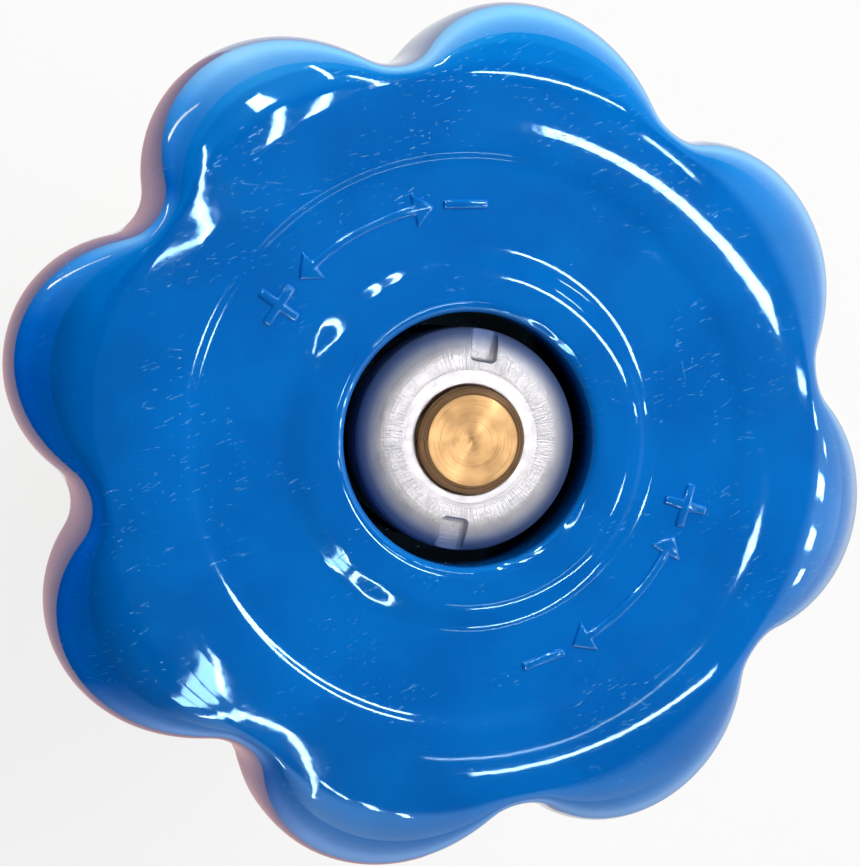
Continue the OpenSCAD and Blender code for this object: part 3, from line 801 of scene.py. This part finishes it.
def body_brass():
    """Brass with the soft skin of a forging, darker clouds and patchy gloss."""
    colour, dark, roughness = srgb(212, 174, 104), srgb(192, 152, 86), 0.3
    look = Look("body_brass", colour, roughness, 1.0)
    cloud = look.range(look.noise(look.place, 0.18, 4.0, 0.6), 0.35, 0.7)
    look.colour(look.mix(cloud, colour, dark))
    look.rough(look.range(look.noise(look.place, 0.7, 3.0), 0.3, 0.7, roughness - 0.06, roughness + 0.1))
    skin = look.noise(look.place, 2.2, 4.0, 0.6)
    look.normal(look.bump(skin, 0.35, 0.05, look.soft_edges(0.3)))
    return look.material


def plain_metal(name, colour, dark, roughness):
    """Machined metal with faint clouds of a darker tone."""
    look = Look(name, colour, roughness, 1.0)
    look.colour(look.mix(look.range(look.noise(look.place, 0.8, 3.0), 0.35, 0.7), colour, dark))
    look.rough(look.range(look.noise(look.place, 1.5, 3.0), 0.3, 0.7, roughness - 0.05, roughness + 0.08))
    look.normal(look.bump(look.noise(look.place, 3.0, 3.0), 0.3, 0.02, look.soft_edges(0.12)))
    return look.material


def soft_plastic(name, colour, dark, roughness):
    """A dull polymer or rubber."""
    look = Look(name, colour, roughness)
    look.colour(look.mix(look.range(look.noise(look.place, 0.6, 3.0), 0.35, 0.7), colour, dark))
    look.rough(look.range(look.noise(look.place, 1.2, 3.0), 0.3, 0.7, roughness - 0.06, roughness + 0.06))
    look.normal(look.bump(look.noise(look.place, 2.5, 3.0), 0.3, 0.03, look.soft_edges(0.1)))
    return look.material


PLAIN_METALS = {  # colour, darker clouds, and roughness
    "cartridge_brass": (srgb(218, 184, 116), srgb(202, 166, 98), 0.26),
    "spring_steel": (srgb(186, 188, 194), srgb(150, 152, 160), 0.26),
    "dark_zinc": (srgb(58, 60, 64), srgb(36, 37, 40), 0.42),
    "washer_copper": (srgb(206, 132, 96), srgb(160, 92, 62), 0.32),
}
POLYMERS = {  # the same
    "white_polymer": (srgb(232, 232, 226), srgb(216, 214, 204), 0.42),
    "black_rubber": (srgb(30, 30, 32), srgb(20, 20, 22), 0.5),
}


def dress_nodes():
    """Gives every CAD solid that stays its material, and makes the pieces that stand in for the others."""
    plastic = wheel_plastic()
    by_slot = {"spindle_brass": spindle_brass(), "body_brass": body_brass()}
    by_slot.update({slot: plain_metal(slot, *tones) for slot, tones in PLAIN_METALS.items()})
    by_slot.update({slot: soft_plastic(slot, *tones) for slot, tones in POLYMERS.items()})
    for part in frame["record"]["subparts"]:
        material = by_slot.get(part["material_slot"])
        if material:
            node = NODES[part["node"]]
            node.data.materials.clear()
            node.data.materials.append(material)
            smooth(node, CAD_SHARP)
    make_handwheel(plastic)
    make_marks(plastic)
    make_nut(nut_steel())
    make_spindle(by_slot["spindle_brass"])
    make_body(by_slot["body_brass"])


# ---- floor, light and camera ----------------------------------------------------------

# Here sizes are in metres, and a direction is given by degrees from overhead and azimuth from the outlet.
BLACK, WHITE = (0.0, 0.0, 0.0, 1.0), (1.0, 1.0, 1.0, 1.0)
WHEEL_TOP = (WHEEL_Z + WHEEL_H) * MM
FLOOR_Z = CAD_BOX[0].z - 0.0002
FLOOR_HALF = 3.0
FLOOR_GLOW = 0.8  # share of the floor near the object that is plain white whatever falls on it
PLASTIC = ("smooth_handwheel", "turning_marks")  # the coloured room and the narrow lamps are for these alone
METAL_ROOM = 0.9  # light of the plain pale room that everything but the plastic sees
ROOM_GLOW = 6.0
WALL_R, WALL_H = 1.1, 2.0
SHEET_R, WARM_R = 0.085, 0.030  # where the coloured floor sheet and the warm card begin
SHEET_Z, STRIP_Z = FLOOR_Z + 0.0008, FLOOR_Z + 0.0012
WINDOW_AZIMUTH = 94
GLOSS_ONLY = ("camera", "shadow", "diffuse")  # rays that don't meet the sheets of the room
WALL_LIGHT = [  # azimuth, and the red, green and blue light that comes from the walls there
    (-180, (0.0, 0.02, 0.10)),
    (-150, (0.0, 0.01, 0.06)),
    (-122, (0.02, 0.05, 0.15)),
    (-108, (0.42, 0.48, 0.62)),
    (-75, (0.34, 0.40, 0.50)),
    (-45, (0.20, 0.20, 0.20)),
    (-12, (0.44, 0.45, 0.40)),
    (15, (0.32, 0.42, 0.40)),
    (45, (0.05, 0.36, 0.50)),
    (75, (0.02, 0.42, 0.64)),
    (108, (0.16, 0.70, 0.95)),
    (124, (0.04, 0.44, 0.86)),
    (142, (0.0, 0.26, 0.62)),
    (162, (0.0, 0.02, 0.10)),
    (180, (0.0, 0.02, 0.10)),
]
FLOOR_LIGHT = [  # the same for the floor
    (-180, (0.0, 0.06, 0.38)),
    (-135, (0.0, 0.04, 0.20)),
    (-105, (0.18, 0.28, 0.50)),
    (-60, (0.14, 0.22, 0.34)),
    (-10, (0.26, 0.27, 0.24)),
    (40, (0.24, 0.42, 0.50)),
    (75, (0.30, 0.66, 0.85)),
    (108, (0.46, 0.82, 1.00)),
    (132, (0.08, 0.38, 0.85)),
    (160, (0.0, 0.12, 0.52)),
    (180, (0.0, 0.06, 0.38)),
]

LAMP_DISTANCE = 0.8
TUBE, WINDOW = 52, 55  # how brightly tubes and windows shine
SKY = (0.85, 0.93, 1.0)
GLOSS_LAMPS = [  # name, the directions of both ends, width and brightness
    ("tube_right", (19, 31.8), (34, 8.2), 0.040, TUBE),
    ("tube_upper_right", (35.2, 68), (42.2, 44.6), 0.016, TUBE),
    ("tube_upper_right_end", (33, 36), (34, 28), 0.014, 45),
    ("tube_low", (26.5, 300), (37.2, 327.5), 0.014, TUBE),
    ("tube_far", (20.9, 302), (24.6, 317.8), 0.008, 18),
    ("tube_far", (24.6, 317.8), (27.4, 332), 0.008, 12),
    ("window_one", (67, 113), (47, 108.5), 0.050, WINDOW),
    ("window_two", (36, 103.5), (20, 96), 0.020, WINDOW),
    ("window_three", (33, 92), (23, 89), 0.025, WINDOW),
    ("window_four", (87, 94.5), (55, 93.5), 0.016, WINDOW),
    ("window_five", (60, 89), (30, 79.5), 0.014, WINDOW),
    ("left_window", (68, 132), (9, 103), 0.014, WINDOW),
    ("left_window_foot", (9, 103), (19.3, 139.6), 0.010, 40),
]
LOW_PANES = [  # the low window's panes: the directions of both ends, and width
    ((62, 238), (47, 240), 0.042),
    ((46, 240.2), (34.5, 242.5), 0.052),
    ((33.5, 243), (25, 249), 0.048),
    ((24.2, 249.6), (17.5, 258), 0.034),
]
LOW_STRIP = [  # the bends of the bent strip beside that window, and its width from each bend to the next
    ((66, 244.3), 0.012),
    ((35.5, 249), 0.014),
    ((24, 259), 0.015),
    ((21.5, 273), 0.015),
    ((27, 271.4), 0.012),
    ((37.4, 264.8), 0.010),
    ((70, 254), 0.0),
]
RIGHT_SPOTS = [  # degrees from overhead, azimuth and half the length in degrees
    (38.6, 1.2, 1.3), (49, 359, 2), (58.9, 356.4, 2), (54.4, 350.6, 4), (55.5, 344, 4), (59.9, 338.5, 4),
]
LOW_SPOTS = [  # the same, and the width
    (40, 266.3, 1.5, 0.010), (43.7, 268, 2, 0.012), (46.9, 272.3, 2.8, 0.016), (51.9, 277.1, 2.5, 0.016),
]


def stage_mesh(name, vertices, faces, material, hidden_from=()):
    """A floor, sheet or card that isn't part of the object."""
    mesh = bpy.data.meshes.new(name)
    mesh.from_pydata(vertices, [], faces)
    mesh.materials.append(material)
    thing = bpy.data.objects.new(name, mesh)
    bpy.context.scene.collection.objects.link(thing)
    for ray in hidden_from:
        setattr(thing, "visible_" + ray, False)
    return thing


def light_only(lamp, pieces, included):
    """Lets a lamp or shining sheet light only the pieces named, or all but those."""
    receivers = bpy.data.collections.new(lamp.name + "_receivers")
    for piece in pieces:
        receivers.objects.link(bpy.data.objects[piece])
    lamp.light_linking.receiver_collection = receivers
    if not included:
        for entry in receivers.collection_objects:
            entry.light_linking.link_state = "EXCLUDE"


def glow(name, colour, strength):
    """A plain shining surface."""
    shine = {"Emission_Color": colour, "Emission_Strength": strength}
    return Look(name, BLACK, 1.0, Specular_IOR_Level=0.0, **shine).material


def make_floor():
    """A pale floor under the stem, with a soft shadow, that fades into an even white away from the object."""
    pale = (0.93, 0.93, 0.93, 1.0)
    look = Look("floor", pale, 0.9, Specular_IOR_Level=0.0, Emission_Color=WHITE)
    _, radius, _ = look.polar()
    far = look.range(radius, 90.0, 330.0, FLOOR_GLOW, 1.0)
    look.colour(look.mix(far, pale, BLACK))
    seen = look.node("ShaderNodeLightPath").outputs
    looked_at = look.math("MAXIMUM", seen["Is Camera Ray"], seen["Is Glossy Ray"])
    look.feed(look.math("MULTIPLY", far, looked_at), look.shader.inputs["Emission Strength"])
    corners = [(x * FLOOR_HALF, y * FLOOR_HALF, FLOOR_Z) for x, y in ((-1, -1), (1, -1), (1, 1), (-1, 1))]
    stage_mesh("floor", corners, [(0, 1, 2, 3)], look.material)


def room_paint(name, light, fade):
    """Light that changes with the azimuth, as the room does, faded by a function of the look."""
    look = Look(name, BLACK, 1.0, Specular_IOR_Level=0.0)
    _, _, angle = look.polar()
    ramp = look.node("ShaderNodeValToRGB")
    look.feed(look.math("MULTIPLY_ADD", angle, 0.5 / math.pi, 0.5), ramp.inputs["Fac"])
    stops = ramp.color_ramp.elements
    for stop, (azimuth, colour) in zip(list(stops), (light[0], light[-1])):
        stop.position, stop.color = azimuth / 360 + 0.5, (*colour, 1)
    for azimuth, colour in light[1:-1]:
        stops.new(azimuth / 360 + 0.5).color = (*colour, 1)
    look.feed(ramp.outputs["Color"], look.shader.inputs["Emission Color"])
    look.feed(look.math("MULTIPLY", fade(look), ROOM_GLOW), look.shader.inputs["Emission Strength"])
    return look.material


def wall_fade(look):
    """The walls reach up to one height. On the side of the windows they go higher and are dimmer below."""
    height = look.height()
    beside = look.math("COSINE", look.math("SUBTRACT", look.polar()[2], math.radians(WINDOW_AZIMUTH)))
    upper = look.range(height, 900, 1950, 0.9, 0.0)
    window = look.math("MULTIPLY", look.range(beside, 0.82, 0.96), upper)
    sill = look.math("MULTIPLY", look.range(beside, 0.5, 0.9), look.range(height, 200, 400, 0.0, 0.5))
    share = look.math("MAXIMUM", window, look.range(height, 850, 1300, 1.0, 0.05))
    return look.math("MULTIPLY", share, look.math("SUBTRACT", 1.0, sill))


def floor_fade(look):
    """The floor sheet is dim close to the object."""
    return look.range(look.polar()[1], 45, 160, 0.12, 1.0)


def ring_sheet(name, start, end, low, high, material):
    """A sheet between two rings (radius, height) round the object, from one azimuth to another."""
    steps = 48
    vertices = []
    for k in range(steps + 1):
        a = math.radians(start + (end - start) * k / steps)
        vertices += [(r * math.cos(a), r * math.sin(a), z) for r, z in (low, high)]
    faces = [(2 * k, 2 * k + 1, 2 * k + 3, 2 * k + 2) for k in range(steps)]
    return stage_mesh(name, vertices, faces, material, GLOSS_ONLY)


def make_cards():
    """The room in the plastic's gloss: bright by the windows, dark opposite, warm under the left rim."""
    wall = room_paint("room_wall", WALL_LIGHT, wall_fade)
    floor = room_paint("room_floor", FLOOR_LIGHT, floor_fade)
    warm = glow("warm_card", (1.0, 0.64, 0.62, 1.0), 0.7)
    shine = glow("bright_strip", WHITE, 8.0)
    bar = [(-0.091, 0.062), (-0.097, 0.061), (-0.163, 0.194), (-0.157, 0.196)]  # lies on the floor
    corners = [(x, y, STRIP_Z) for x, y in bar]
    cards = [
        ring_sheet("room_wall", -180, 180, (WALL_R, FLOOR_Z), (WALL_R, FLOOR_Z + WALL_H), wall),
        ring_sheet("room_floor", -180, 180, (SHEET_R, SHEET_Z), (WALL_R, SHEET_Z), floor),
        ring_sheet("warm_card", 105, 290, (WARM_R, SHEET_Z), (SHEET_R, SHEET_Z), warm),
        stage_mesh("bright_strip", corners, [(0, 1, 2, 3)], shine, GLOSS_ONLY),
    ]
    for card in cards:
        light_only(card, PLASTIC, True)


def make_world():
    """A pale room: white round the horizon, dimmer overhead, where the lamps are."""
    world = bpy.data.worlds.new("room")
    bpy.context.scene.world = world
    world.use_nodes = True
    tree = world.node_tree
    background = tree.nodes["Background"]
    place = tree.nodes.new("ShaderNodeTexCoord")
    parts = tree.nodes.new("ShaderNodeSeparateXYZ")
    fade = tree.nodes.new("ShaderNodeMapRange")
    fade.interpolation_type = "SMOOTHSTEP"
    for name, number in (("From Min", 0.10), ("From Max", 0.60), ("To Min", 1.0), ("To Max", 0.12)):
        fade.inputs[name].default_value = number
    tree.links.new(place.outputs["Generated"], parts.inputs[0])
    tree.links.new(parts.outputs[2], fade.inputs["Value"])
    tree.links.new(fade.outputs["Result"], background.inputs["Strength"])
    background.inputs["Color"].default_value = WHITE


def way(zenith, azimuth):
    """The unit vector of a direction."""
    t, a = math.radians(zenith), math.radians(azimuth)
    return Vector((math.sin(t) * math.cos(a), math.sin(t) * math.sin(a), math.cos(t)))


def turn_to(thing, right, back):
    """Turns a lamp or camera so that its X axis points right and it faces away from back."""
    thing.rotation_mode = "QUATERNION"
    thing.rotation_quaternion = Matrix((right, back.cross(right), back)).transposed().to_quaternion()


def add_lamp(name, middle, along, distance, size, radiance, colour=(1, 1, 1)):
    """A rectangular lamp in direction middle from the wheel, with its length turned along a direction."""
    data = bpy.data.lights.new(name, "AREA")
    data.shape = "RECTANGLE"
    data.size, data.size_y = size
    data.energy = radiance * math.pi * size[0] * size[1]
    data.color = colour
    lamp = bpy.data.objects.new(name, data)
    bpy.context.scene.collection.objects.link(lamp)
    middle = middle.normalized()
    lamp.location = Vector((0, 0, WHEEL_TOP)) + middle * distance
    turn_to(lamp, (along - middle * along.dot(middle)).normalized(), middle)
    lamp.visible_camera = False
    return lamp


def highlight(name, start, end, width, radiance, colour=(1, 1, 1), metal=False):
    """A lamp between two directions, seen only in gloss: the plastic's, or with metal all the others'."""
    one, two = way(*start) * LAMP_DISTANCE, way(*end) * LAMP_DISTANCE
    middle, along = (one + two) / 2, two - one
    lamp = add_lamp(name, middle, along, middle.length, (along.length, width), radiance, colour)
    lamp.visible_diffuse = False
    light_only(lamp, PLASTIC, not metal)


def light_metal():
    """The plain pale room that all but the plastic see, with one soft window and one tube."""
    highlight("metal_soft", (18, 190), (34, 5), 0.40, 2.6, (1, 0.975, 0.985), metal=True)
    highlight("metal_tube", (26, 28), (52, 44), 0.09, 10, metal=True)
    for azimuth in range(0, 360, 60):
        highlight("metal_around", (48, azimuth), (104, azimuth), 0.75, METAL_ROOM, metal=True)
    depth = WHEEL_TOP - FLOOR_Z - 0.002  # just above the floor
    below = add_lamp("metal_below", Vector((0, 0, -1)), Vector((1, 0, 0)), depth, (1.6, 1.6), METAL_ROOM)
    below.visible_diffuse = False
    light_only(below, PLASTIC, False)


def light_plastic():
    """The tubes, windows and small lamps that the plastic's gloss shows."""
    for lamp in GLOSS_LAMPS:
        highlight(*lamp)
    for start, end, width in LOW_PANES:
        highlight("low_window", start, end, width, 28, SKY)
    highlight("low_window_edge", (22.4, 256), (15, 264), 0.012, TUBE)
    for (start, width), (end, _) in zip(LOW_STRIP, LOW_STRIP[1:]):
        highlight("low_strip", start, end, width, 50)
    for zenith, azimuth, half in RIGHT_SPOTS:
        start, end = (zenith - half, azimuth + 0.5), (zenith + half, azimuth)
        highlight("right_spot", start, end, 0.012 + half * 0.0045, 50)
    highlight("right_streak", (26.2, 345), (24.6, 341.6), 0.030, 48)
    for zenith, azimuth, half, width in LOW_SPOTS:
        highlight("low_spot", (zenith - half, azimuth), (zenith + half, azimuth + 0.5), width, TUBE)


def make_lights():
    """One large soft lamp for all colour, and the lamps that only gloss sees."""
    soft = add_lamp("soft_light", Vector((0.5, 0.45, 1.0)), Vector((1, 0, 0)), 0.50, (0.45, 0.45), 4.6)
    soft.visible_glossy = False
    light_metal()
    light_plastic()


def make_camera():
    """Looks down on the wheel from beside its axis."""
    data = bpy.data.cameras.new("camera")
    data.sensor_width, data.lens = 36.0, CAMERA_LENS
    data.shift_x, data.shift_y = CAMERA_SHIFT
    data.clip_start, data.clip_end = 0.01, 20.0
    camera = bpy.data.objects.new("camera", data)
    bpy.context.scene.collection.objects.link(camera)
    camera.location = Vector((0, 0, CAMERA_AIM_Z * MM)) + VIEW * CAMERA_DISTANCE
    turn_to(camera, Vector((0, 1, 0)).cross(VIEW).normalized(), VIEW)
    bpy.context.scene.camera = camera


bpy.context.scene.view_settings.view_transform = "Standard"
dress_nodes()
make_floor()
make_cards()
make_world()
make_lights()
make_camera()
